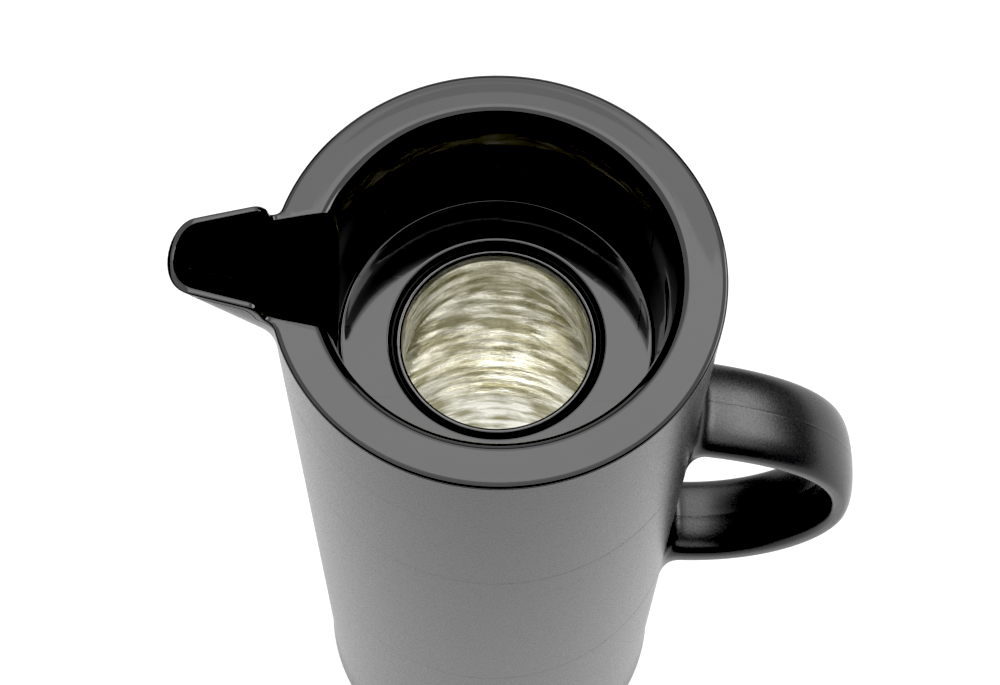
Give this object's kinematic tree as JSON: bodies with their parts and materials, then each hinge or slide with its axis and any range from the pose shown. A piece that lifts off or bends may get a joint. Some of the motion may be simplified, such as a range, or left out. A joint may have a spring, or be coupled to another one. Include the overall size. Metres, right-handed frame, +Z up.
{
  "type": "insulated pouring jug",
  "caption": "Cylindrical insulated pouring jug with a double-walled glass flask, beak spout, strap handle, open collar for a stopper and a screw-in base.",
  "frame": {"origin": "on the jug's axis, in the plane of the foot ring's underside", "axes": "+Z up along the jug's axis, +X towards the handle, -X towards the spout"},
  "size_m": [0.1812, 0.1096, 0.2747],
  "materials": {
    "shell_plastic": "fine satin grain, nearly black",
    "collar_plastic": "polished black",
    "base_plastic": "satin black",
    "seal_rubber": "soft black rubber",
    "foot_rubber": "matte anti-slip rubber",
    "silvered_glass": "blown glass silvered on its hidden side",
    "spacer_mineral": "pressed mineral fibre",
    "pad_foam": "grey closed-cell foam"
  },
  "bodies": {
    "jug": {"outer_shell": "shell_plastic", "pour_collar": "collar_plastic", "collar_seal": "seal_rubber", "neck_gasket": "seal_rubber", "shoulder_pad_1": "pad_foam", "shoulder_pad_2": "pad_foam", "shoulder_pad_3": "pad_foam", "base_thread_ring": "base_plastic"},
    "flask": {"flask_inner": "silvered_glass", "flask_outer": "silvered_glass", "spacer_pad_1": "spacer_mineral", "spacer_pad_2": "spacer_mineral", "spacer_pad_3": "spacer_mineral", "tip_guard": "seal_rubber"},
    "base": {"support_cushion": "seal_rubber", "base_cap": "base_plastic", "base_seal": "seal_rubber", "foot_ring": "foot_rubber"}
  },
  "joints": [
    {"name": "flask_drop", "type": "slide", "parent": "jug", "child": "flask", "axis": [0, 0, -1], "range_m": [0, 0.012]},
    {"name": "base_turn", "type": "hinge", "parent": "flask", "child": "base", "pos_m": [0, 0, 0], "axis": [0, 0, -1], "range_deg": [0, 720]}
  ],
  "couplings": [
    {"joint": "flask_drop", "follows": "base_turn", "m_per_rad": 0.00095493}
  ]
}
